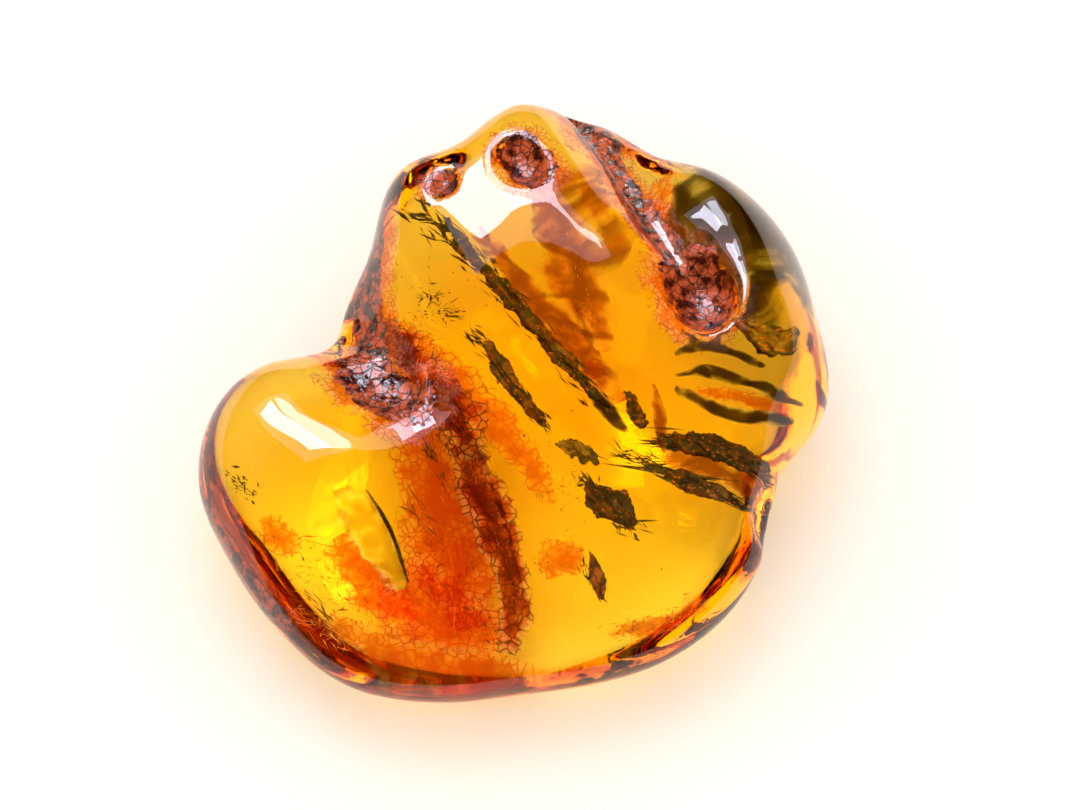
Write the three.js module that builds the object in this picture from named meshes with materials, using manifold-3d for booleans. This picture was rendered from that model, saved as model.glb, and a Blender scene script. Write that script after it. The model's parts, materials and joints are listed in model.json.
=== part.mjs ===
// A polished free-form piece of raw amber with scraps of bark, leaf and wood sealed in it.
// Millimetres, +Z up. The origin is on the flat that the piece rests on, below its middle.
import * as THREE from "three";
import { mergeVertices } from "three/addons/utils/BufferGeometryUtils.js";
import Module from "manifold-3d";

// Driving dimensions of the pebble.
const RIM_HEIGHT = 7.5; // the middle level of the rim, where the pebble is widest
const RIM_TILT = 2; // how far the rim rises at the back and drops at the front
const CROWN_RISE = 9; // the plain dome above the rim, before its swellings
const TOP_SLOPE = 0.12; // how the dome falls towards the front, in millimetres per millimetre
const KEEL_DROP = 8.4; // the dome below the rim, which the rest face cuts off
const SHOULDER = 0.8; // below 1, the section is fuller than an ellipse
const SURFACE_DETAIL = 13; // splits of each edge of the starting icosahedron
const MIDDLE_DENSITY = 1.35; // above 1, the facets are finer towards the middle

// Radius of the widest section every 15 degrees, anticlockwise from +X.
// It dips at 165 degrees, at the waist between the small lobe and the main mass.
const RIM_RADII = [
  25.6, 25.9, 26.8, 26.2, 24.6, 26.4, 25.6, 21.8, 22, 18.2, 17.1, 17,
  24.5, 27.3, 27.2, 27.4, 27.6, 26.1, 24.5, 24.4, 24.7, 24.5, 23.5, 22.2,
];

// Swellings and hollows of the upper side. Each runs from one place to another, seen from above,
// and fades out over its reach. A rise below zero is a hollow.
const RELIEF = [
  { name: "crown", from: [0, 17], to: [8, 8], reach: 24, rise: 3.1 },
  { name: "right lobe", from: [15, 9], to: [19, 4], reach: 11, rise: 3 },
  { name: "small lobe", from: [-22, -8], to: [-17, -11], reach: 12, rise: 2.5 },
  { name: "waist valley", from: [-18, 12], to: [-12, 1], reach: 9, rise: -3.5 },
  { name: "gully", from: [4.6, 27], to: [13.2, 7], reach: 6.5, rise: -3.6 },
];

// Crust pits sunk in the skin: the point on the skin seen along the way, the half sizes of the
// ellipsoid that is scooped out, its turn about +Z, and how far its middle stands off the skin.
const DOWN = [0, 0, -1];
const PITS = [
  { name: "crown pit", over: [0.1, 15.4, 40], way: DOWN, half: [2, 3, 2.4], turn: 35, off: 0.6 },
  { name: "flank pit", over: [-6.4, 14, 40], way: DOWN, half: [1.2, 1.5, 1.2], turn: -20, off: 0.3 },
  { name: "gully end", over: [14.4, 3.8, 40], way: DOWN, half: [3, 3.8, 2.8], turn: 20, off: 0.6 },
  { name: "waist pit", over: [-11.3, -1.3, 40], way: DOWN, half: [4, 3, 2], turn: -30, off: 1.4 },
  { name: "side notch", over: [60, -10.8, 8.6], way: [-1, 0, 0], half: [1.8, 2.6, 4], turn: 0, off: 0.3 },
];

// The crust-lined groove along the bottom of the gully, from the back edge to the gully end.
const GROOVE_WAY = [[4.6, 24.4], [6.5, 20.6], [8.6, 16.2], [10.7, 11.6], [13.6, 5.6]];
const GROOVE = { way: GROOVE_WAY, half: 1.6, off: 0.5 };
const GROOVE_SIDES = 8;
const GROOVE_STEPS = 16;
const PIT_DETAIL = 4;

// The amber is parted in two along the flow layer on which the scraps lie.
const FLOW_LEVEL = 9; // its height over the origin
const FLOW_TILT = 0.1; // how it rises towards the back, in millimetres per millimetre
const FIT_GAP = 0.3; // between the halves, and around each sealed scrap

// Scraps on the flow layer: the way each runs, seen from above, and its half width in the middle.
const BARK = 0x2e2a12;
const LEAF = 0x6b5a24;
const WOOD = 0x7a3c12;
const CRACK = 0x7c1f0a;
const LONG_STRIP_WAY = [[-5.2, 15.1], [-3.7, 12.3], [0.5, 7.2], [4, 2.4], [6.2, -0.4]];
const UPPER_SLAB_WAY = [[11.4, -4.2], [14, -4.4], [16.6, -5.1], [19.4, -6.6]];
const CRACK_BAND_WAY = [[-8.7, 5.6], [-6.2, 1], [-4, -5.3], [-1.9, -12.2], [0.2, -17.6]];
const SCRAPS = [
  { name: "bark_strip_long", way: LONG_STRIP_WAY, half: 0.55, color: BARK },
  { name: "bark_strip_middle", way: [[-2.1, 3.8], [-0.7, 1.1], [2.1, -2.6]], half: 0.5, color: BARK },
  { name: "wood_wedge", way: [[2, 14.2], [4.6, 9.8], [6.3, 5.9]], half: 0.9, color: WOOD },
  { name: "seed_husk", way: [[8.3, 0.2], [9, -1.4], [9.5, -3]], half: 0.55, color: BARK },
  { name: "leaf_scrap", way: [[3.2, -4.4], [4.8, -4.9], [6.2, -5.6]], half: 0.75, color: LEAF },
  { name: "bark_chip", way: [[5.2, -7.9], [7.2, -9.6], [8.9, -11.2]], half: 1.3, color: BARK },
  { name: "bark_slab_upper", way: UPPER_SLAB_WAY, half: 0.9, color: BARK },
  { name: "bark_slab_lower", way: [[11.2, -6.8], [13.6, -7.7], [16.2, -8.9]], half: 0.65, color: BARK },
  { name: "wood_splinter", way: [[5.4, -13.4], [6.2, -15.6], [6.6, -17.2]], half: 0.4, color: WOOD },
  { name: "leaf_flake", way: [[17.6, 6.6], [18.8, 5.6], [20.2, 4.6]], half: 0.8, color: LEAF },
  { name: "crack_band", way: CRACK_BAND_WAY, half: 0.75, color: CRACK },
  { name: "leaf_sliver", way: [[-11.6, -10.2], [-9.8, -12.8], [-7.8, -15.2]], half: 0.7, color: LEAF },
];
const SCRAP_HALF_THICKNESS = 0.45;
const SCRAP_SIDES = 6;
const SCRAP_RING_SPACING = 1.6; // between the rings of a scrap, at most
const SCRAP_RAGGEDNESS = 0.22; // the share by which its edge swells and narrows

const wasm = await Module();
wasm.setup();

// A three.js geometry as a manifold-3d solid.
function solidOf(geometry) {
  const bare = geometry.clone();
  bare.deleteAttribute("normal");
  bare.deleteAttribute("uv");
  const merged = mergeVertices(bare, 1e-4);
  return new wasm.Manifold(
    new wasm.Mesh({
      numProp: 3,
      vertProperties: merged.attributes.position.array,
      triVerts: new Uint32Array(merged.index.array),
    }),
  );
}

// A manifold-3d solid as a three.js geometry with flat shading.
function geometryOf(solid) {
  const mesh = solid.getMesh();
  const geometry = new THREE.BufferGeometry();
  geometry.setAttribute("position", new THREE.BufferAttribute(mesh.vertProperties, 3));
  geometry.setIndex(new THREE.BufferAttribute(mesh.triVerts, 1));
  const flat = geometry.toNonIndexed();
  flat.computeVertexNormals();
  return flat;
}

// The rim's radius at any angle, on a smooth closed curve through RIM_RADII.
function rimRadius(angle) {
  const count = RIM_RADII.length;
  const place = (((angle / (2 * Math.PI)) * count) % count + count) % count;
  const i = Math.floor(place);
  const t = place - i;
  const [a, b, c, d] = [-1, 0, 1, 2].map((k) => RIM_RADII[(i + k + count) % count]);
  return b + 0.5 * t * (c - a + t * (2 * a - 5 * b + 4 * c - d + t * (3 * (b - c) + d - a)));
}

// How far a point lies from the line between two places, seen from above.
function distanceToRun(x, y, from, to) {
  const [dx, dy] = [to[0] - from[0], to[1] - from[1]];
  const along = ((x - from[0]) * dx + (y - from[1]) * dy) / (dx * dx + dy * dy);
  const t = THREE.MathUtils.clamp(along, 0, 1);
  return Math.hypot(x - from[0] - t * dx, y - from[1] - t * dy);
}

// The pebble's skin: each direction of a fine icosahedron is carried out to the plain dome,
// and the upper side then takes the swellings and hollows.
function pebbleGeometry() {
  const geometry = new THREE.IcosahedronGeometry(1, SURFACE_DETAIL);
  const points = geometry.getAttribute("position");
  for (let i = 0; i < points.count; i++) {
    const way = new THREE.Vector3().fromBufferAttribute(points, i).normalize();
    const angle = Math.atan2(way.y, way.x);
    const level = Math.pow(Math.hypot(way.x, way.y), MIDDLE_DENSITY);
    const steep = Math.sqrt(Math.max(1 - level * level, 0));
    const reach = rimRadius(angle) * Math.pow(level, SHOULDER);
    const x = reach * Math.cos(angle);
    const y = reach * Math.sin(angle);
    const height = way.z > 0 ? CROWN_RISE : -KEEL_DROP;
    const upper = THREE.MathUtils.smoothstep(way.z, -0.1, 0.55);
    const tilt = RIM_TILT * Math.sin(angle) * level + TOP_SLOPE * upper * y;
    let z = RIM_HEIGHT + tilt + height * Math.pow(steep, SHOULDER);
    for (const { from, to, reach: fade, rise } of RELIEF) {
      const near = 1 - distanceToRun(x, y, from, to) / fade;
      z += upper * rise * THREE.MathUtils.smoothstep(near, 0, 1);
    }
    points.setXYZ(i, x, y, z);
  }
  return geometry;
}

// The first point of the skin from a place, looking along a way.
function skinPoint(skin, place, way) {
  const ray = new THREE.Raycaster(new THREE.Vector3(...place), new THREE.Vector3(...way));
  return ray.intersectObject(skin)[0].point;
}

// A slab that takes in everything between two levels, which rise towards the back by the tilt.
function slab(bottom, top, tilt = 0) {
  const wide = 4 * Math.max(...RIM_RADII);
  const geometry = new THREE.BoxGeometry(wide, wide, top - bottom);
  geometry.translate(0, 0, (top + bottom) / 2);
  const points = geometry.getAttribute("position");
  for (let i = 0; i < points.count; i++) {
    points.setZ(i, points.getZ(i) + tilt * points.getY(i));
  }
  return solidOf(geometry);
}

// The ellipsoid that is scooped out for a pit.
function pitSolid(skin, { over, way, half, turn, off }) {
  const middle = skinPoint(skin, over, way).addScaledVector(new THREE.Vector3(...way), -off);
  const geometry = new THREE.IcosahedronGeometry(1, PIT_DETAIL).scale(...half);
  geometry.rotateZ(THREE.MathUtils.degToRad(turn));
  return solidOf(geometry.translate(middle.x, middle.y, middle.z));
}

// A closed solid through a row of rings, each a list of points, with a fan on either end.
function loft(rings) {
  const sides = rings[0].length;
  const points = rings.flat();
  const triangles = [];
  for (let r = 0; r + 1 < rings.length; r++) {
    for (let s = 0; s < sides; s++) {
      const [a, b] = [r * sides + s, r * sides + ((s + 1) % sides)];
      triangles.push(a, b, b + sides, a, b + sides, a + sides);
    }
  }
  const last = (rings.length - 1) * sides;
  for (let s = 1; s + 1 < sides; s++) {
    triangles.push(0, s + 1, s, last, last + s, last + s + 1);
  }
  const geometry = new THREE.BufferGeometry().setFromPoints(points);
  geometry.setIndex(triangles);
  return geometry;
}

// Rings square to a curve. The half sizes across and upright come from a function of the place
// along the curve, from 0 to 1.
function ringsAlong(curve, steps, sides, halfSizes) {
  const rings = [];
  for (let k = 0; k <= steps; k++) {
    const t = k / steps;
    const middle = curve.getPointAt(t);
    const along = curve.getTangentAt(t);
    const across = new THREE.Vector3(-along.y, along.x, 0).normalize();
    const upright = new THREE.Vector3().crossVectors(along, across);
    const [wide, high] = halfSizes(t);
    const ring = [];
    for (let s = 0; s < sides; s++) {
      const turn = (2 * Math.PI * s) / sides;
      const point = middle.clone().addScaledVector(across, wide * Math.cos(turn));
      ring.push(point.addScaledVector(upright, high * Math.sin(turn)));
    }
    rings.push(ring);
  }
  return rings;
}

// The groove that is cut along the gully, on the skin all the way.
function grooveSolid(skin) {
  const places = GROOVE.way.map(([x, y]) => {
    const point = skinPoint(skin, [x, y, 40], DOWN);
    return point.setZ(point.z + GROOVE.off);
  });
  const curve = new THREE.CatmullRomCurve3(places);
  const round = (t) => GROOVE.half * (0.8 + 0.2 * Math.cos(9 * t));
  return solidOf(loft(ringsAlong(curve, GROOVE_STEPS, GROOVE_SIDES, (t) => [round(t), round(t)])));
}

// A ragged flake on the flow layer. Its pocket is the same flake with the gap all around.
function scrapSolid({ way, half }, index, gap) {
  const places = way.map(([x, y]) => new THREE.Vector3(x, y, FLOW_LEVEL + FLOW_TILT * y));
  const ends = [places[0].clone().sub(places[1]), places.at(-1).clone().sub(places.at(-2))];
  places[0].addScaledVector(ends[0].normalize(), gap);
  places[places.length - 1].addScaledVector(ends[1].normalize(), gap);
  const curve = new THREE.CatmullRomCurve3(places);
  const steps = Math.max(4, Math.ceil(curve.getLength() / SCRAP_RING_SPACING));
  const halfSizes = (t) => {
    const taper = Math.sqrt(Math.sin(Math.PI * (0.04 + 0.92 * t)));
    const ragged = 1 + SCRAP_RAGGEDNESS * Math.sin(17 * t + 2.3 * index);
    return [half * taper * ragged + gap, SCRAP_HALF_THICKNESS * taper + gap];
  };
  return solidOf(loft(ringsAlong(curve, steps, SCRAP_SIDES, halfSizes)));
}

function amberSolid() {
  const geometry = pebbleGeometry();
  const skin = new THREE.Mesh(geometry);
  let solid = solidOf(geometry).subtract(slab(-RIM_HEIGHT, 0)).subtract(grooveSolid(skin));
  for (const pit of PITS) {
    solid = solid.subtract(pitSolid(skin, pit));
  }
  SCRAPS.forEach((scrap, index) => {
    solid = solid.subtract(scrapSolid(scrap, index, FIT_GAP));
  });
  return solid;
}

function addPiece(group, name, solid, finish) {
  const piece = new THREE.Mesh(geometryOf(solid), new THREE.MeshStandardMaterial(finish));
  piece.name = name;
  group.add(piece);
}

const amber = new THREE.Group();
const whole = amberSolid();
const above = slab(FLOW_LEVEL + FIT_GAP / 2, 4 * RIM_HEIGHT, FLOW_TILT);
const below = slab(-RIM_HEIGHT, FLOW_LEVEL - FIT_GAP / 2, FLOW_TILT);
addPiece(amber, "amber_upper", whole.intersect(above), { color: 0xe9a21a, roughness: 0.05 });
addPiece(amber, "amber_lower", whole.intersect(below), { color: 0xe08a10, roughness: 0.05 });
SCRAPS.forEach((scrap, index) => {
  addPiece(amber, scrap.name, scrapSolid(scrap, index, 0), { color: scrap.color, roughness: 0.8 });
});

export default amber;
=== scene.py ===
import json
import math
import random

import bpy
import bmesh
from mathutils import Matrix, Vector, noise

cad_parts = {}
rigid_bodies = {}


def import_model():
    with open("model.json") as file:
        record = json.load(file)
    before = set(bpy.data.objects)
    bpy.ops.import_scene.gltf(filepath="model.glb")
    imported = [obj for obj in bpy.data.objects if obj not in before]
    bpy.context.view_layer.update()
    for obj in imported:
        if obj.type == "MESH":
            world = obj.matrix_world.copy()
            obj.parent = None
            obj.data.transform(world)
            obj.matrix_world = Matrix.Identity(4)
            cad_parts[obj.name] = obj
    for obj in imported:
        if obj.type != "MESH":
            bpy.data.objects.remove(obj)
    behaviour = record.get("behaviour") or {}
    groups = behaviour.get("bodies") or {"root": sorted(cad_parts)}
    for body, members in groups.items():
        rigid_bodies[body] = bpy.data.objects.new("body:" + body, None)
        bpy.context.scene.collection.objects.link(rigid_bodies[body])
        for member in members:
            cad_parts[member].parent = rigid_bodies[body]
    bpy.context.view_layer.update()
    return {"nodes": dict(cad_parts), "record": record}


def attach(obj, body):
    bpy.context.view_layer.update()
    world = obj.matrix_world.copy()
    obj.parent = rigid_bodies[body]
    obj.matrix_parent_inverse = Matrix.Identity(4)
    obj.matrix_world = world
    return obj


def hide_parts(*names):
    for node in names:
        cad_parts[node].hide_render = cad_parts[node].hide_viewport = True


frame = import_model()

bl_info = {
    "name": "Polished amber piece",
    "version": (1, 0, 0),
    "blender": (4, 5, 0),
    "location": "View3D > Sidebar > Amber",
    "description": "Builds a clear polished piece of amber with its crust and the scraps sealed in it",
    "category": "Add Mesh",
}

MM = 0.001
HALVES = ("amber_upper", "amber_lower")
FLOW_LEVEL = 9 * MM  # the layer that the scraps lie on, where the two halves part
FLOW_TILT = 0.1  # how much it rises towards the back
CRUST_LIFT = 0.03 * MM  # how far the lowest crust stands off the clear skin
HALO_DEPTH = 0.3 * MM  # how far the stained rim lies under the crust
SEALED_DEPTH = 0.2 * MM  # the least depth of layers, splinters and crumbs under the clear skin
MERGE_WITHIN = 0.002 * MM  # points of a solid's mesh that are nearer than this are one point
VOXEL_ROUNDS = 5  # smoothing rounds that take the steps of the remesh out of the skin
CRUST_SPARED = 0.8  # the share of the polish that the middle of the crust is spared

# Where the weathered crust shows. A patch runs along its way and fades out over its reach, in
# millimetres. A way of two numbers a place is seen from above, on the upper side. Some patches
# are sunk under a clear skin of the depth given.
CRUST = (
    {"way": ((0, 16.3), (1.2, 14.6)), "reach": 3.0, "sunk": 0},  # crown pit
    {"way": ((-6.6, 14.1), (-6.2, 13.9)), "reach": 1.9, "sunk": 0},  # flank pit
    {"way": ((5, 24.2), (6.6, 20.4)), "reach": 3.2, "sunk": 0.3},  # gully, wide part
    {"way": ((6.6, 20.4), (9.4, 14), (13.2, 6.6)), "reach": 1.9, "sunk": 0.3},  # gully, narrow part
    {"way": ((13.8, 6), (14.8, 3.4)), "reach": 3.9, "sunk": 0},  # gully end
    {"way": ((-12.4, 13), (-12.6, 9.3), (-12.6, 5.4), (-12, 2)), "reach": 2.0, "sunk": 0.25},  # waist
    {"way": ((-12.8, 0.2), (-11.2, -2), (-8.6, -3.8)), "reach": 3.6, "sunk": 0},  # waist pit
    {"way": ((-26, -4.6, 8.4), (-24.8, -10.6, 8.4), (-20.6, -17.2, 7.8), (-18.6, -19.4, 7.4)),
     "reach": 1.4, "sunk": 0.2},  # left side
    {"way": ((23.2, -9.6, 9.4), (22.6, -12, 7.6), (22, -14.4, 6.4)), "reach": 3.4, "sunk": 0.1},  # side notch
)


def linear(code):
    """The linear colour, with alpha, of an sRGB hex value."""
    parts = [int(code[k:k + 2], 16) / 255 for k in (0, 2, 4)]
    return [c / 12.92 if c <= 0.04045 else ((c + 0.055) / 1.055) ** 2.4 for c in parts] + [1.0]


class AmberSizes(bpy.types.PropertyGroup):
    """Sizes of the amber piece that a user would change."""

    skin_grain: bpy.props.FloatProperty(
        name="Skin grain", description="Spacing of the points of the clear skin",
        default=0.4 * MM, min=0.3 * MM, unit="LENGTH")
    polish_rounds: bpy.props.IntProperty(
        name="Polish rounds", description="How often the skin is evened out, as polishing does", default=26)
    crust_depth: bpy.props.FloatProperty(
        name="Crust depth", description="How rough the crust is", default=0.08 * MM, unit="LENGTH")
    scrap_grain: bpy.props.FloatProperty(
        name="Scrap grain", description="Spacing of the points of a scrap", default=0.11 * MM, unit="LENGTH")
    fray: bpy.props.FloatProperty(
        name="Fray", description="How ragged the scraps are", default=0.5 * MM, unit="LENGTH")


class AmberLooks(bpy.types.PropertyGroup):
    """Colours and optical values of the amber piece."""

    index: bpy.props.FloatProperty(
        name="Refractive index", description="That of fossil resin is 1.54", default=1.54)
    depth_colour: bpy.props.FloatVectorProperty(
        name="Depth colour", description="What the resin lets through", subtype="COLOR",
        default=(0.998, 0.88, 0.0), min=0, max=1)
    depth_density: bpy.props.FloatProperty(
        name="Depth density", description="How fast the resin takes light away, per metre", default=170.0)


def add_node(tree, kind, settings=None, links=None):
    """Adds a node, sets its inputs and its other settings, and links inputs to other nodes."""
    node = tree.nodes.new(kind)
    for name, value in (settings or {}).items():
        if name in node.inputs:
            node.inputs[name].default_value = value
        else:
            setattr(node, name, value)
    for name, source in (links or {}).items():
        tree.links.new(source, node.inputs[name])
    return node


def new_material(name):
    """A material without nodes, and its node tree."""
    material = bpy.data.materials.new(name)
    material.use_nodes = True
    material.node_tree.nodes.clear()
    return material, material.node_tree


def fade(tree, value, low, high, start=0.0, end=1.0):
    """A value that runs smoothly from start to end while another runs from low to high."""
    node = add_node(tree, "ShaderNodeMapRange", {
        "interpolation_type": "SMOOTHSTEP", "From Min": low, "From Max": high,
        "To Min": start, "To Max": end}, {"Value": value})
    return node.outputs["Result"]


def combine(tree, operation, first, second):
    """A sum, product and the like of two values, each a socket or a number."""
    node = add_node(tree, "ShaderNodeMath", {"operation": operation})
    for place, value in enumerate((first, second)):
        if isinstance(value, (int, float)):
            node.inputs[place].default_value = value
        else:
            tree.links.new(value, node.inputs[place])
    return node.outputs["Value"]


def blend(tree, share, first, second):
    """A mix of two colours, each a socket or a hex value."""
    node = add_node(tree, "ShaderNodeMixRGB", links={"Fac": share})
    for name, value in (("Color1", first), ("Color2", second)):
        if isinstance(value, str):
            node.inputs[name].default_value = linear(value)
        else:
            tree.links.new(value, node.inputs[name])
    return node.outputs["Color"]


def grain(tree, size, detail=4.0):
    """A cloudy value with features of a size."""
    place = add_node(tree, "ShaderNodeTexCoord")
    node = add_node(tree, "ShaderNodeTexNoise", {"Scale": 1 / size, "Detail": detail},
                    {"Vector": place.outputs["Object"]})
    return node.outputs["Fac"]


def crazing(tree, size, crack):
    """1 on the plates of a crazed layer and 0 in the cracks between them, whose share is given."""
    place = add_node(tree, "ShaderNodeTexCoord")
    node = add_node(tree, "ShaderNodeTexVoronoi", {"feature": "DISTANCE_TO_EDGE", "Scale": 1 / size},
                    {"Vector": place.outputs["Object"]})
    return fade(tree, node.outputs["Distance"], 0.15 * crack, crack)


def clear_amber_material():
    """Clear polished fossil resin: mirror-smooth, and golden through its depth."""
    looks = bpy.context.scene.amber_looks
    material, tree = new_material("polished_clear_amber")
    shader = add_node(tree, "ShaderNodeBsdfPrincipled", {
        "Base Color": (1, 1, 1, 1),
        "Transmission Weight": 1.0,
        "Roughness": 0.02,
        "IOR": looks.index,
    })
    volume = add_node(tree, "ShaderNodeVolumeAbsorption", {
        "Color": list(looks.depth_colour) + [1.0],
        "Density": looks.depth_density,
    })
    add_node(tree, "ShaderNodeOutputMaterial", links={
        "Surface": shader.outputs["BSDF"],
        "Volume": volume.outputs["Volume"],
    })
    return material


def crust_material():
    """Weathered resin crust: dark red-brown, crazed into small plates that still shine."""
    material, tree = new_material("raw_resin_crust")
    clouds = grain(tree, 1.1 * MM, 5.0)
    specks = grain(tree, 0.3 * MM, 3.0)
    plates = crazing(tree, 0.8 * MM, 0.07)
    colour = blend(tree, fade(tree, clouds, 0.38, 0.62), "320C05", "AE4412")
    colour = blend(tree, plates, "240A04", colour)
    height = combine(tree, "ADD", plates, combine(tree, "MULTIPLY", specks, 0.2))
    bump = add_node(tree, "ShaderNodeBump", {"Distance": 0.05 * MM, "Strength": 0.4}, {"Height": height})
    shader = add_node(tree, "ShaderNodeBsdfPrincipled", {}, {
        "Base Color": colour,
        "Roughness": fade(tree, clouds, 0.35, 0.7, 0.1, 0.45),
        "Normal": bump.outputs["Normal"],
    })
    add_node(tree, "ShaderNodeOutputMaterial", links={"Surface": shader.outputs["BSDF"]})
    return material


def scrap_material(name, dark, light):
    """Fossil bark, wood, leaf or resin crumbs: dull, clouded between two browns, and with glints
    of orange resin."""
    material, tree = new_material(name)
    clouds = fade(tree, grain(tree, 0.8 * MM, 6.0), 0.42, 0.66)
    glints = fade(tree, grain(tree, 0.24 * MM, 3.0), 0.6, 0.68, 0.0, 0.8)
    colour = blend(tree, glints, blend(tree, clouds, dark, light), "C8640E")
    shader = add_node(tree, "ShaderNodeBsdfPrincipled", {"Roughness": 0.6}, {"Base Color": colour})
    add_node(tree, "ShaderNodeOutputMaterial", links={"Surface": shader.outputs["BSDF"]})
    return material


def veil_material(name, thin, thick, plate, solid):
    """A stained, crazed layer inside the resin. It bends no light, so that it only colours what is
    seen through it. It frays out to a net of fine cracks towards its edges. The plates between the
    cracks have a size in millimetres, and the solid share of the layer lets no light through."""
    material, tree = new_material(name)
    cover = add_node(tree, "ShaderNodeAttribute", {"attribute_name": "cover"}).outputs["Fac"]
    clouds = grain(tree, 1.5 * MM, 5.0)
    ragged = combine(tree, "ADD", cover, combine(tree, "MULTIPLY", clouds, 1.6))
    body = fade(tree, ragged, 0.8, 1.5)
    depth = fade(tree, ragged, 1.2, 1.9)
    cracks = combine(tree, "SUBTRACT", 1.0, crazing(tree, plate * MM, 0.12))
    lines = combine(tree, "MULTIPLY", cracks, fade(tree, ragged, 0.7, 1.1, 0.0, 0.9))
    colour = blend(tree, body, "FFFFFF", blend(tree, depth, thin, thick))
    colour = blend(tree, lines, colour, thick)
    shader = add_node(tree, "ShaderNodeBsdfPrincipled", {"IOR": 1.0, "Roughness": 0.0}, {
        "Base Color": colour,
        "Transmission Weight": fade(tree, body, 0.0, 1.0, 1.0, 1.0 - solid),
    })
    add_node(tree, "ShaderNodeOutputMaterial", links={"Surface": shader.outputs["BSDF"]})
    return material


def paper_material():
    """Uncoated white paper: matt and slightly warm."""
    material, tree = new_material("white_paper")
    shader = add_node(tree, "ShaderNodeBsdfPrincipled", {"Base Color": linear("D8D2CC"), "Roughness": 0.9})
    add_node(tree, "ShaderNodeOutputMaterial", links={"Surface": shader.outputs["BSDF"]})
    return material


def only(obj):
    """Selects this object and nothing else, and makes it active."""
    bpy.ops.object.select_all(action="DESELECT")
    obj.select_set(True)
    bpy.context.view_layer.objects.active = obj


def copy_of(node):
    """A copy of a CAD node's object with its own merged mesh, its place kept in the mesh."""
    source = frame["nodes"][node]
    piece = source.copy()
    piece.data = source.data.copy()
    piece.parent = None
    piece.matrix_world = Matrix.Identity(4)
    piece.data.transform(source.matrix_world)
    bpy.context.scene.collection.objects.link(piece)
    only(piece)
    bpy.ops.object.mode_set(mode="EDIT")
    bpy.ops.mesh.select_all(action="SELECT")
    bpy.ops.mesh.remove_doubles(threshold=MERGE_WITHIN)
    bpy.ops.object.mode_set(mode="OBJECT")
    return piece


def apply_modifier(piece, kind, **settings):
    """Adds a modifier with its settings and makes its result the piece's own mesh."""
    modifier = piece.modifiers.new(kind.title(), kind)
    for name, value in settings.items():
        setattr(modifier, name, value)
    only(piece)
    bpy.ops.object.modifier_apply(modifier=modifier.name)


def select_faces(piece, wanted):
    """In edit mode, selects the faces for which wanted(face) is true."""
    mesh = bmesh.from_edit_mesh(piece.data)
    for face in mesh.faces:
        face.select_set(bool(wanted(face)))
    mesh.select_flush_mode()
    bmesh.update_edit_mesh(piece.data)


def join_halves():
    """The two halves' outer skins, closed over the parting gap to one solid."""
    copies = [copy_of(node) for node in HALVES]
    bpy.ops.object.select_all(action="DESELECT")
    for piece in copies:
        piece.select_set(True)
    bpy.context.view_layer.objects.active = copies[0]
    bpy.ops.object.join()
    body = copies[0]
    body.name = "clear_amber"
    body.data.name = "clear_amber"
    near = 0.2 * MM  # the parting faces are nearer than this to the flow layer
    lined_up = 0.999  # the least cosine between their normals and that of the layer
    flow_normal = Vector((0, -FLOW_TILT, 1)).normalized()

    def on_parting(face):
        place = face.calc_center_median()
        off = place.z - FLOW_LEVEL - FLOW_TILT * place.y
        return abs(face.normal.dot(flow_normal)) > lined_up and abs(off) < near

    bpy.ops.object.mode_set(mode="EDIT")
    bpy.ops.mesh.select_mode(type="FACE")
    select_faces(body, on_parting)
    bpy.ops.mesh.delete(type="FACE")
    # Only the outer skins reach the top and the bottom: the pockets' walls are loose now.
    mesh = bmesh.from_edit_mesh(body.data)
    heights = [face.calc_center_median().z for face in mesh.faces]
    top, bottom = max(heights), min(heights)
    select_faces(body, lambda f: f.calc_center_median().z in (top, bottom))
    bpy.ops.mesh.select_linked()
    bpy.ops.mesh.select_all(action="INVERT")
    bpy.ops.mesh.delete(type="FACE")
    bpy.ops.mesh.select_mode(type="EDGE")
    bpy.ops.mesh.select_all(action="DESELECT")
    bpy.ops.mesh.select_non_manifold()
    bpy.ops.mesh.bridge_edge_loops()
    bpy.ops.mesh.select_all(action="SELECT")
    bpy.ops.mesh.normals_make_consistent(inside=False)
    bpy.ops.object.mode_set(mode="OBJECT")
    return body


def distance_to_way(place, way):
    """How far a place is from the line through the places of a way, in the way's own numbers."""
    nearest = math.inf
    for start, end in zip(way, way[1:]):
        run = end - start
        t = max(0.0, min(1.0, (place - start).dot(run) / run.length_squared))
        nearest = min(nearest, (place - start - run * t).length)
    return nearest


def nearest_crust(place):
    """The strongest patch of crust at a place and its strength there: 1 in the middle of the
    patch, 0 at its reach and less outside. Patches seen from above lie on the upper side only."""
    upper = place.z > FLOW_LEVEL + FLOW_TILT * place.y
    spot = place / MM
    found = (-math.inf, None)
    for patch in CRUST:
        way = [Vector(point) for point in patch["way"]]
        from_above = len(way[0]) == 2
        if from_above and not upper:
            continue
        strength = 1 - distance_to_way(spot.to_2d() if from_above else spot, way) / patch["reach"]
        if strength > found[0]:
            found = (strength, patch)
    return found


def crust_at(place):
    """How strong the crust is at a place."""
    return nearest_crust(place)[0]


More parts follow.
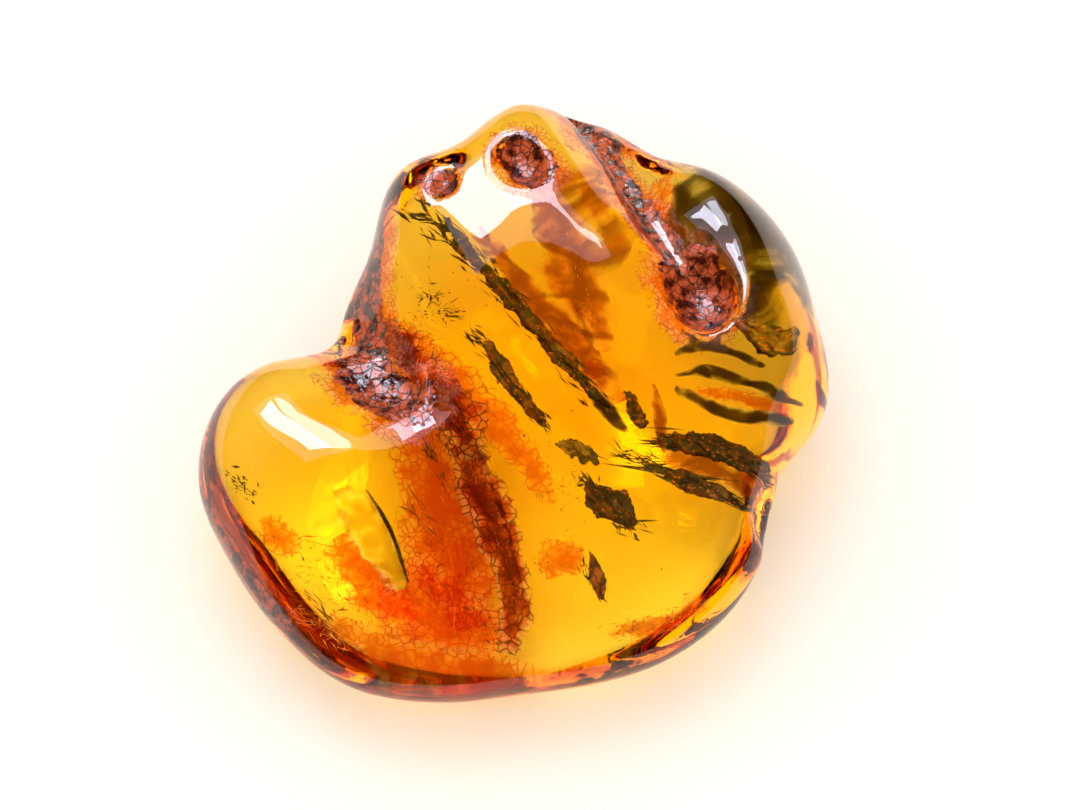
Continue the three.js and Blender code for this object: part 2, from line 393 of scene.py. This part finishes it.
class AMBER_OT_clear_body(bpy.types.Operator):
    """Makes the one clear body of the piece from the two solid halves"""

    bl_idname = "amber.clear_body"
    bl_label = "Clear body"

    def execute(self, context):
        sizes = context.scene.amber_sizes
        body = join_halves()
        apply_modifier(body, "REMESH", mode="VOXEL", voxel_size=sizes.skin_grain)
        apply_modifier(body, "SMOOTH", factor=0.5, iterations=VOXEL_ROUNDS)
        open_skin = body.vertex_groups.new(name="open skin")
        for vertex in body.data.vertices:
            share = 1 - CRUST_SPARED * min(1.0, 2 * max(0.0, crust_at(vertex.co)))
            open_skin.add([vertex.index], share, "REPLACE")
        apply_modifier(body, "SMOOTH", factor=0.5, iterations=sizes.polish_rounds, vertex_group="open skin")
        for vertex in body.data.vertices:
            vertex.co.z = max(0.0, vertex.co.z)  # nothing goes below the table
        only(body)
        bpy.ops.object.shade_smooth()
        body.data.materials.clear()
        body.data.materials.append(clear_amber_material())
        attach(body, "root")
        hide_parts(*HALVES)
        return {"FINISHED"}


def skin_piece(name, weakest, cuts, offset, material, widening=0.0):
    """A sheet laid along the clear skin where the crust is no weaker than the weakest given. How
    far it stands off the skin comes from the place and the strength there. The strength is also
    kept as its cover, with the widening added."""
    piece = bpy.data.objects.new(name, bpy.data.objects["clear_amber"].data.copy())
    piece.data.name = name
    bpy.context.scene.collection.objects.link(piece)
    only(piece)
    bpy.ops.object.mode_set(mode="EDIT")
    bpy.ops.mesh.select_mode(type="FACE")
    select_faces(piece, lambda f: crust_at(f.calc_center_median()) < weakest)
    bpy.ops.mesh.delete(type="FACE")
    bpy.ops.mesh.select_all(action="SELECT")
    bpy.ops.mesh.subdivide(number_cuts=cuts, smoothness=0)
    bpy.ops.object.mode_set(mode="OBJECT")
    points = piece.data.vertices
    cover = [crust_at(point.co) for point in points]
    moves = [point.normal * offset(point.co, share) for point, share in zip(points, cover)]
    for point, move in zip(points, moves):
        point.co += move
    layer = piece.data.attributes.new("cover", "FLOAT", "POINT")
    layer.data.foreach_set("value", [share + widening for share in cover])
    bpy.ops.object.shade_smooth()
    piece.data.materials.clear()
    piece.data.materials.append(material)
    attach(piece, "root")
    return piece


def sunk_depth(place):
    """How deep the crust at a place is sunk under the clear skin."""
    return nearest_crust(place)[1]["sunk"] * MM


def two_grains(place, coarse, fine, share):
    """Noise with coarse features and a share of fine ones, both sizes in millimetres."""
    return noise.noise(place / (coarse * MM)) + share * noise.noise(place / (fine * MM))


class AMBER_OT_crust(bpy.types.Operator):
    """Lays the weathered crust in the pits, the gully and the notch and along the left side"""

    bl_idname = "amber.crust"
    bl_label = "Crust"

    def execute(self, context):
        depth = context.scene.amber_sizes.crust_depth
        barest = 0.38  # the strength at which the crust ends
        tatter = 0.16  # how far its ragged edge strays from there

        def rough_height(place, share):
            fading = min(1.0, max(0.0, 3 * share - 0.9))
            rise = depth * max(0.0, 0.5 + two_grains(place, 0.8, 0.35, 0.6)) * fading
            return CRUST_LIFT + rise - sunk_depth(place)

        def too_thin(face):
            place = face.calc_center_median()
            return crust_at(place) + tatter * two_grains(place, 0.9, 0.3, 0.5) < barest

        def under_crust(place, share):
            return -HALO_DEPTH - sunk_depth(place)

        crust = skin_piece("raw_crust", weakest=0.2, cuts=3, offset=rough_height, material=crust_material())
        bpy.ops.object.mode_set(mode="EDIT")
        bpy.ops.mesh.select_mode(type="FACE")
        select_faces(crust, too_thin)
        bpy.ops.mesh.delete(type="FACE")
        bpy.ops.object.mode_set(mode="OBJECT")
        halo = veil_material("stained_resin_rim", "FF8A2A", "B03A0C", 0.5, 0.15)
        skin_piece("crust_halo", weakest=-0.15, cuts=1, offset=under_crust, material=halo, widening=0.25)
        return {"FINISHED"}


# The name and the two browns of each material, by slot.
SCRAP_FINISHES = {
    "bark": ("fossil_bark", "160802", "5E2C0C"),
    "wood": ("fossil_wood", "3A1606", "8A4414"),
    "leaf": ("fossil_leaf", "3A2A10", "8A6A34"),
}
VEILED = ("wood_wedge", "crack_band", "leaf_sliver")  # these scraps are layers that light comes through
SWOLLEN = {  # how far the faces of a ragged scrap stand off those of its plain one, in millimetres
    "bark_slab_upper": 0.25, "bark_slab_lower": 0.15, "bark_strip_long": 0.05, "bark_strip_middle": 0.1,
    "bark_chip": 0.05,
}


def finishes():
    """The scraps' materials by slot, made once."""
    return {slot: bpy.data.materials.get(look[0]) or scrap_material(*look)
            for slot, look in SCRAP_FINISHES.items()}


def fray_out(piece, swell, depth, seed):
    """Makes a plain flake thicker and ragged, with ridges along its length as fossil fibres have."""
    corners = [vertex.co.copy() for vertex in piece.data.vertices]
    first = min(corners, key=lambda place: place.y)
    along = (max(corners, key=lambda place: place.y) - first).normalized()
    shift = Vector((seed, 2 * seed, 0))
    moves = []
    for vertex in piece.data.vertices:
        ridge = vertex.co - along * (0.9 * (vertex.co - first).dot(along))
        rough = noise.noise(ridge / (0.25 * MM) + shift)
        rough += 0.5 * noise.noise(vertex.co / (1.6 * MM) + shift)
        rough += 0.25 * noise.noise(vertex.co / (0.3 * MM) + shift)
        moves.append(vertex.normal * (swell + depth * rough))
    for vertex, move in zip(piece.data.vertices, moves):
        vertex.co += move


class AMBER_OT_scraps(bpy.types.Operator):
    """Makes the sealed scraps ragged and gives them their finishes"""

    bl_idname = "amber.scraps"
    bl_label = "Sealed scraps"

    def execute(self, context):
        sizes = context.scene.amber_sizes
        looks = finishes()
        for seed, entry in enumerate(frame["record"]["subparts"]):
            node = entry["node"]
            if node in HALVES or node in VEILED:
                continue
            piece = copy_of(node)
            piece.name = piece.data.name = "ragged_" + node
            apply_modifier(piece, "REMESH", mode="VOXEL", voxel_size=sizes.scrap_grain)
            fray_out(piece, SWOLLEN.get(node, 0) * MM, sizes.fray, seed)
            only(piece)
            bpy.ops.object.shade_smooth()
            piece.data.materials.clear()
            piece.data.materials.append(looks[entry["material_slot"]])
            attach(piece, "root")
            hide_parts(node)
        return {"FINISHED"}


def smooth_way(way, step):
    """Points about a step apart on a smooth curve through the places of a way."""
    places = [Vector(place) for place in way]
    ends = [2 * places[0] - places[1]] + places + [2 * places[-1] - places[-2]]
    points = []
    for a, b, c, d in zip(ends, ends[1:], ends[2:], ends[3:]):
        count = max(1, round((c - b).length / step))
        for k in range(count):
            t = k / count
            bend = 2 * a - 5 * b + 4 * c - d + t * (3 * (b - c) + d - a)
            points.append(b + 0.5 * t * (c - a + t * bend))
    return points + [places[-1]]


def add_ribbon(mesh, cover, way, half, lean, wave, seed):
    """Adds a wavy strip along a way, in millimetres, to a bmesh, with its cover fading outwards."""
    points = smooth_way(way, 0.35)
    side = 5  # points on each side of the middle one
    shift = Vector((seed, seed, seed))
    rows = []
    for k, middle in enumerate(points):
        ahead = points[min(k + 1, len(points) - 1)] - points[max(k - 1, 0)]
        flat = ahead.cross(Vector((0, 0, 1))).normalized()
        up = flat.cross(ahead).normalized()
        across = flat * math.cos(lean) + up * math.sin(lean)
        taper = math.sin(math.pi * (0.06 + 0.88 * k / (len(points) - 1))) ** 0.5
        ragged = 1 + 0.5 * noise.noise(middle * 0.5 + shift)
        row = []
        for s in range(-side, side + 1):
            place = middle + across * (half * taper * ragged * s / side)
            place += up * (wave * noise.noise(place * 0.45 + shift))
            point = mesh.verts.new(place * MM)
            point[cover] = (1 - (s / side) ** 2) * taper
            row.append(point)
        rows.append(row)
    for near, far in zip(rows, rows[1:]):
        for a, b, c, d in zip(near, near[1:], far[1:], far):
            mesh.faces.new((a, b, c, d))


# Stained layers inside the resin; the last two olive strips are painted shade. A finish names
# the material, its colour where the stain is thin and where it is thick, the size of its crazed
# plates in millimetres, and how solid it is. Each strip has its half width in millimetres, how it
# leans in degrees, and the way it runs.
VEIL_WAVE = 0.7  # how far the strips wave up and down, in millimetres
VEILS = (
    {"name": "crack_veil", "finish": ("dark_red_layer", "C85018", "541404", 0.8, 0.4),
     "slot": "crack", "replaces": "crack_band", "strips": (
        (3.0, 12, ((-11, 7.4, 10), (-8, 3, 9.8), (-5.2, -2, 9.2), (-3.7, -6, 8.8))),
        (2.1, 15, ((-5.4, -1, 9), (-3.6, -7, 8.6), (-1.7, -12.6, 8), (-0.4, -17, 6.8), (-1.2, -21, 5))),
        (0.9, 65, ((-5.5, 1, 8.8), (-2.8, -6, 8.2), (-0.9, -12.2, 7.4), (0.4, -17, 6))),
    )},
    {"name": "red_veil", "finish": ("red_crackle_layer", "FF8E24", "D04410", 0.7, 0.15),
     "slot": "crack", "replaces": None, "strips": (
        (3.6, 5, ((-9.6, -1, 8.4), (-7.2, -7.4, 7.8), (-5.2, -13, 7), (-3.8, -19, 5.6))),
        (3.4, -10, ((-10.4, -15, 6.8), (-6, -18, 6), (-0.6, -20, 5))),
        (2.4, 10, ((-14.6, -11.6, 7), (-11, -16, 6.4), (-8.4, -20, 5.2))),
        (2.2, 0, ((13, 17.6, 12.4), (13.4, 13.6, 12.8), (13.8, 9.6, 13), (14, 5.6, 13))),
    )},
    {"name": "leaf_veil", "finish": ("green_leaf_layer", "F0D648", "C8A428", 4.0, 0.7),
     "slot": "leaf", "replaces": "leaf_sliver", "strips": (
        (1.8, 20, ((-14.4, -8.2, 8), (-11.8, -12.2, 7.8), (-9.4, -16.6, 7.4))),
    )},
    {"name": "wood_veil", "finish": ("brown_wood_layer", "D08030", "7A3A10", 4.0, 0.3),
     "slot": "wood", "replaces": "wood_wedge", "strips": (
        (2.6, 15, ((2, 18.6, 10), (3.2, 14.4, 10.2), (5, 9.4, 9.8), (7, 3.6, 9.4))),
        (1.9, 25, ((-3.2, 14.6, 9.6), (0.9, 9.2, 9.2), (4.5, 4.4, 9), (8, -0.6, 8.6))),
        (1.8, 20, ((11, -5, 8.2), (14.4, -6, 8), (18.6, -8.4, 7.8))),
        (0.6, 30, ((10.4, 0.8, 9.4), (10.8, -2.4, 9.2), (11.2, -5.4, 9))),
    )},
    {"name": "orange_veil", "finish": ("orange_crackle_layer", "FFB448", "D0581A", 0.8, 0.12),
     "slot": "crack", "replaces": None, "strips": (
        (2.0, -15, ((-8.2, 7.4, 8.4), (-5.4, 2.6, 8.2), (-2.6, -1.4, 7.8), (0.8, -5.4, 7.2), (2.6, -9, 6.8))),
        (2.3, 0, ((1.4, -13.4, 6.4), (5.0, -13.2, 6.4))),
        (1.3, 25, ((7, -19.8, 6), (11.4, -18.8, 6), (14.6, -17, 6))),
        (1.8, 10, ((-19.6, -9.6, 6.6), (-17, -12.4, 6.2))),
        (1.1, 0, ((14, 1.2, 9), (18, 0.8, 8.8), (21.4, -0.6, 8.6))),
        (1.2, 0, ((5.6, 3.2, 8.6), (6.4, 1.4, 8.6))),
        (1.0, -70, ((11.4, 10.6, 15), (13, 6.6, 14.6), (15.6, 3.2, 14.2))),
        (1.6, -30, ((-15, -18, 5.4), (-10, -21, 4.4), (-3, -22, 3.6), (2, -22, 3.4))),
    )},
    {"name": "olive_strands_and_painted_shade", "finish": ("olive_layer_and_painted_shade", "6A5A26", "1E1406", 4.0, 0.6),
     "slot": "leaf", "replaces": None, "strips": (
        (0.5, 60, ((-12.6, -8.6, 8.2), (-10.4, -12, 8), (-8.8, -16, 7.6))),
        (0.9, 20, ((12.4, 2.3, 9.2), (15.4, 3.1, 9.2), (18.4, 2.1, 9), (22, 0.2, 8.6))),
        (0.9, -15, ((12.2, 0.9, 8.8), (16.5, -0.9, 8.8), (21.4, -0.8, 8.4))),
        (0.7, 30, ((12.6, 4.2, 9.4), (16, 5.2, 9.2), (18.8, 4.0, 9))),
        (0.7, 20, ((4.2, 2.4, 9), (6.3, -0.6, 8.8), (8.3, -3.4, 8.6))),
        # The last two strips are painted shade: the dark olive along the back right edge of the right lobe,
        # where the resin mirrors the dark room. The strips above them are dark strands and a leaf's edge.
        (2.2, 30, ((13.6, 17.4, 3.6), (16.4, 13.6, 3.2), (19.4, 8.6, 3))),
        (2.2, 0, ((14.6, 16.8, 10.6), (17.4, 13.2, 10.6), (20.4, 9.4, 10.2), (21.8, 6.2, 9.8))),
    )},
)


class AMBER_OT_veils(bpy.types.Operator):
    """Adds the stained and crazed layers inside the resin, among them two olive strips of painted shade"""

    bl_idname = "amber.veils"
    bl_label = "Stained layers"

    def execute(self, context):
        for veil in VEILS:
            mesh = bmesh.new()
            cover = mesh.verts.layers.float.new("cover")
            for seed, (half, lean, way) in enumerate(veil["strips"]):
                add_ribbon(mesh, cover, way, half, math.radians(lean), VEIL_WAVE, seed)
            piece = piece_from(mesh, veil["name"], veil_material(*veil["finish"]))
            if veil["replaces"]:
                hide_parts(veil["replaces"])
        return {"FINISHED"}


def keep_inside(piece, depth):
    """Moves the points of a piece that lie outside the clear body, or near its skin, back in."""
    body = bpy.data.objects["clear_amber"]
    for vertex in piece.data.vertices:
        _, skin, outward, _ = body.closest_point_on_mesh(vertex.co)
        if (vertex.co - skin).dot(outward) > -depth:
            vertex.co = skin - outward * depth


def piece_from(mesh, name, material):
    """An object made of a bmesh, with its finish, that rides with the amber."""
    data = bpy.data.meshes.new(name)
    mesh.to_mesh(data)
    mesh.free()
    piece = bpy.data.objects.new(name, data)
    bpy.context.scene.collection.objects.link(piece)
    data.materials.append(material)
    keep_inside(piece, SEALED_DEPTH)
    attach(piece, "root")
    return piece


def add_chip(mesh, middle, along, turn, sizes):
    """Adds a splinter with pointed ends. The sizes are its half length, width and thickness."""
    side = along.cross(turn).normalized()
    up = side.cross(along).normalized()
    tips = [middle + sign * axis * size * MM
            for axis, size in zip((along, side, up), sizes) for sign in (1, -1)]
    a, b, c, d, e, f = [mesh.verts.new(tip) for tip in tips]
    for near, far in ((a, c), (c, b), (b, d), (d, a)):
        mesh.faces.new((near, far, e))
        mesh.faces.new((far, near, f))


# Splinters and crumbs strewn along ways, in millimetres: how many, their usual half length and
# half width, how far they lie from the way, and how far they turn from it. A finish names the
# material and its two browns or reds.
STREWN = (
    {"name": "bark_splinters", "slot": "bark",
     "finish": ("bark_crumbs", "0C0904", "3A260E"), "runs": (
        {"way": ((-6.4, 16, 10.4), (-3.7, 12.3, 10), (0.5, 7.2, 9.6), (4, 2.4, 9.2), (7.4, -1.6, 8.8)),
         "count": 260, "size": (0.75, 0.06), "spread": 0.75, "sway": 0.25},
        {"way": ((-2.8, 5, 9.4), (-0.7, 1.1, 9), (2.6, -3.2, 8.6)),
         "count": 90, "size": (0.6, 0.06), "spread": 0.5, "sway": 0.3},
        {"way": ((10.6, -4.2, 8.8), (14, -4.6, 8.6), (20.4, -7.4, 8.2)),
         "count": 150, "size": (1.2, 0.1), "spread": 0.55, "sway": 0.2},
        {"way": ((10.4, -6.4, 8.4), (13.6, -7.6, 8.2), (17.4, -9.6, 8)),
         "count": 90, "size": (1.0, 0.09), "spread": 0.45, "sway": 0.2},
        {"way": ((5, -7.4, 8.4), (7.2, -9.6, 8), (9.4, -11.8, 7.8)),
         "count": 70, "size": (0.5, 0.1), "spread": 0.8, "sway": 0.8},
        {"way": ((7.4, -5.2, 8.6), (10.4, -6, 8.4)),
         "count": 40, "size": (0.6, 0.06), "spread": 0.6, "sway": 0.6},
        {"way": ((4.8, -14.4, 7.6), (6.6, -17.6, 7.2)),
         "count": 26, "size": (0.4, 0.06), "spread": 0.35, "sway": 0.5},
        {"way": ((-6.2, 9.4, 9.8), (-3.4, 6.8, 9.4)),
         "count": 80, "size": (0.3, 0.045), "spread": 0.9, "sway": 1.2},
        {"way": ((-22.4, -6.4, 8.2), (-20.2, -8.4, 8)),
         "count": 40, "size": (0.3, 0.05), "spread": 0.5, "sway": 0.8},
        {"way": ((-7.8, -4.4, 8.4), (-6, -7.8, 8)),
         "count": 24, "size": (0.45, 0.07), "spread": 0.5, "sway": 0.5},
        {"way": ((-9.4, -9, 8), (-6.8, -12, 7.6)),
         "count": 16, "size": (0.7, 0.045), "spread": 0.7, "sway": 0.5},
        {"way": ((-16.4, -16.6, 7), (-14.6, -19, 6.6)),
         "count": 14, "size": (0.7, 0.07), "spread": 0.25, "sway": 0.3},
        {"way": ((-6, 14, 10), (0, 4, 9), (6, -8, 8), (10, -14, 7)),
         "count": 90, "size": (0.12, 0.035), "spread": 3.4, "sway": 2.0},
    )},
    {"name": "red_crumbs", "slot": "crack",
     "finish": ("red_resin_crumbs", "4A0C04", "A8320C"), "runs": (
        {"way": ((-9.4, 6.2, 9.6), (-6.2, 1, 9.2), (-4, -5.3, 8.6), (-1.9, -12.2, 7.8), (0, -17.6, 6.8)),
         "count": 260, "size": (0.3, 0.04), "spread": 0.6, "sway": 0.7},
        {"way": ((-8, -12, 7), (-4.6, -16.4, 6), (-2, -19.4, 5.2)),
         "count": 160, "size": (0.3, 0.035), "spread": 1.9, "sway": 0.9},
        {"way": ((-19, -11, 6.6), (-16.4, -14.4, 6.2), (-12.4, -18.6, 5.4)),
         "count": 90, "size": (0.22, 0.035), "spread": 1.5, "sway": 1.2},
    )},
    {"name": "orange_crumbs", "slot": "crack",
     "finish": ("orange_resin_crumbs", "9A3A08", "F09A34"), "runs": (
        {"way": ((-7.4, 8, 8.6), (-4.6, 3.4, 8.2), (-1.8, -0.6, 7.8), (1.4, -4.8, 7.4), (3, -8.6, 7)),
         "count": 220, "size": (0.24, 0.035), "spread": 1.1, "sway": 1.0},
        {"way": ((-6.6, -9, 8), (-4.6, -14, 7), (-3.6, -19, 5.8)),
         "count": 90, "size": (0.9, 0.02), "spread": 2.2, "sway": 0.3},
        {"way": ((-17.4, -18.4, 6.8), (-13, -21, 6)),
         "count": 80, "size": (0.6, 0.03), "spread": 0.8, "sway": 1.2},
        {"way": ((2, -13.4, 6.6), (4.4, -13.2, 6.6)),
         "count": 60, "size": (0.2, 0.035), "spread": 1.1, "sway": 1.4},
        {"way": ((7.6, -19.6, 6.2), (11.4, -18.8, 6.2), (14, -17.2, 6.2)),
         "count": 170, "size": (0.24, 0.035), "spread": 0.8, "sway": 0.8},
        {"way": ((3.6, 14.4, 10), (5.4, 8.4, 9.8), (6.6, 4.2, 9.4)),
         "count": 110, "size": (0.16, 0.035), "spread": 1.2, "sway": 1.5},
        {"way": ((-18, -12, 7), (-10, -18, 6), (0, -21, 5)),
         "count": 160, "size": (0.5, 0.025), "spread": 1.8, "sway": 1.0},
    )},
)


class AMBER_OT_splinters(bpy.types.Operator):
    """Strews splinters and crumbs along the scraps"""

    bl_idname = "amber.splinters"
    bl_label = "Splinters and crumbs"

    def execute(self, context):
        chance = random.Random(7)

        def any_way(length):
            return Vector([chance.gauss(0, length) for _ in range(3)])

        for kind in STREWN:
            mesh = bmesh.new()
            for run in kind["runs"]:
                points = smooth_way(run["way"], 0.3)
                for _ in range(run["count"]):
                    k = chance.randrange(len(points) - 1)
                    along = (points[k + 1] - points[k]).normalized() + any_way(0.6 * run["sway"])
                    off = any_way(0.6 * run["spread"])
                    off.z *= 0.5
                    long, wide = [size * chance.lognormvariate(0, 0.45) for size in run["size"]]
                    sizes = (long, wide, wide * chance.uniform(0.3, 0.9))
                    add_chip(mesh, (points[k] + off) * MM, along.normalized(), any_way(1), sizes)
            piece_from(mesh, kind["name"], scrap_material(*kind["finish"]))
        return {"FINISHED"}


CAMERA_AIM = Vector((1.64, -1.2, 10)) * MM
CAMERA_RISE = math.radians(60)
CAMERA_AWAY = 197 * MM
CAMERA_LENS = 80  # millimetres
CAMERA_SENSOR = 36  # millimetres
PAPER_LEVEL = -0.2 * MM
ROOM_COLOUR = "FFF6EE"
ROOM_STRENGTH = 1.75

# The window, the curtain around it and the ceiling. Places are azimuths and rises in degrees and
# distances in metres. Sizes are in metres and powers in watts.
WINDOW_COLOUR = (0.8, 0.82, 1.0)
WINDOW_RISE = 55
WINDOW_AWAY = 0.75
WINDOW_PANES = {-38: 4.2, -12: 2.8}  # each pane's azimuth and power
PANE_SIZE = (0.2, 0.4)
CURTAIN_AZIMUTH = -25
CURTAIN_SIZE = (0.56, 0.6)
CURTAIN_POWER = 1.8
CEILING_COLOUR = (1.0, 0.97, 0.86)
CEILING_SIZE = (1.8, 1.8)
CEILING_AWAY = 1.0
CEILING_POWER = 24.0


def aimed(obj, place, aim):
    """Puts an object at a place, looking at another."""
    obj.location = place
    obj.rotation_euler = (aim - place).to_track_quat("-Z", "Y").to_euler()


def sky_place(azimuth, rise, away):
    """A place seen from the piece: azimuth from +Y towards +X, rise above the table, distance."""
    a, r = math.radians(azimuth), math.radians(rise)
    return Vector((math.sin(a) * math.cos(r), math.cos(a) * math.cos(r), math.sin(r))) * away


def add_light(name, place, size, power, colour):
    """An area light that shines from a place on the piece."""
    bpy.ops.object.light_add(type="AREA")
    light = bpy.context.object
    light.name = name
    light.data.shape = "RECTANGLE"
    light.data.size, light.data.size_y = size
    light.data.energy = power
    light.data.color = colour
    aimed(light, place, Vector((0, 0, 0)))
    return light


class AMBER_OT_stage(bpy.types.Operator):
    """Adds the paper, the lights and the camera"""

    bl_idname = "amber.stage"
    bl_label = "Stage"

    def execute(self, context):
        scene = context.scene
        bpy.ops.object.select_all(action="DESELECT")
        bpy.ops.mesh.primitive_plane_add(size=3, location=(0, 0, PAPER_LEVEL))
        paper = context.object
        paper.name = "paper"
        paper.data.materials.append(paper_material())
        # The panes are mirrored in the skin and shine through the resin. The curtain around them
        # gives the softer light that falls on the paper.
        for azimuth, power in WINDOW_PANES.items():
            place = sky_place(azimuth, WINDOW_RISE, WINDOW_AWAY)
            pane = add_light("window_pane", place, PANE_SIZE, power, WINDOW_COLOUR)
            pane.visible_diffuse = False
        place = sky_place(CURTAIN_AZIMUTH, WINDOW_RISE, WINDOW_AWAY)
        add_light("curtain", place, CURTAIN_SIZE, CURTAIN_POWER, WINDOW_COLOUR)
        # The ceiling is seen through the clear resin alone: the skin doesn't mirror it, and it
        # lights neither the paper nor the scraps.
        ceiling = add_light("ceiling", sky_place(0, 90, CEILING_AWAY), CEILING_SIZE, CEILING_POWER,
                            CEILING_COLOUR)
        ceiling.visible_diffuse = False
        ceiling.visible_glossy = False
        bpy.ops.object.camera_add()
        camera = context.object
        camera.name = "photo_camera"
        camera.data.lens = CAMERA_LENS
        camera.data.sensor_width = CAMERA_SENSOR
        camera.data.clip_start = 10 * MM
        toward = Vector((0, -math.cos(CAMERA_RISE), math.sin(CAMERA_RISE)))
        aimed(camera, CAMERA_AIM + toward * CAMERA_AWAY, CAMERA_AIM)
        scene.camera = camera
        world = bpy.data.worlds.new("room")
        scene.world = world
        world.use_nodes = True
        background = world.node_tree.nodes["Background"]
        background.inputs["Color"].default_value = linear(ROOM_COLOUR)
        background.inputs["Strength"].default_value = ROOM_STRENGTH
        # The room is left out of the reflections, so that they show the window and the paper.
        world.cycles_visibility.glossy = False
        scene.view_settings.view_transform = "Standard"
        return {"FINISHED"}


class AMBER_PT_panel(bpy.types.Panel):
    """Lists the steps that build the piece"""

    bl_label = "Amber piece"
    bl_idname = "AMBER_PT_panel"
    bl_space_type = "VIEW_3D"
    bl_region_type = "UI"
    bl_category = "Amber"

    def draw(self, context):
        column = self.layout.column()
        for step in STEPS:
            column.operator(step.bl_idname)


STEPS = (AMBER_OT_stage, AMBER_OT_clear_body, AMBER_OT_crust, AMBER_OT_scraps, AMBER_OT_veils,
         AMBER_OT_splinters)
CLASSES = (AmberSizes, AmberLooks) + STEPS + (AMBER_PT_panel,)


def register():
    for kind in CLASSES:
        bpy.utils.register_class(kind)
    bpy.types.Scene.amber_sizes = bpy.props.PointerProperty(type=AmberSizes)
    bpy.types.Scene.amber_looks = bpy.props.PointerProperty(type=AmberLooks)


def unregister():
    del bpy.types.Scene.amber_looks
    del bpy.types.Scene.amber_sizes
    for kind in reversed(CLASSES):
        bpy.utils.unregister_class(kind)


def main():
    register()
    bpy.ops.amber.stage()
    bpy.ops.amber.clear_body()
    bpy.ops.amber.crust()
    bpy.ops.amber.scraps()
    bpy.ops.amber.veils()
    bpy.ops.amber.splinters()


if __name__ == "__main__":
    main()
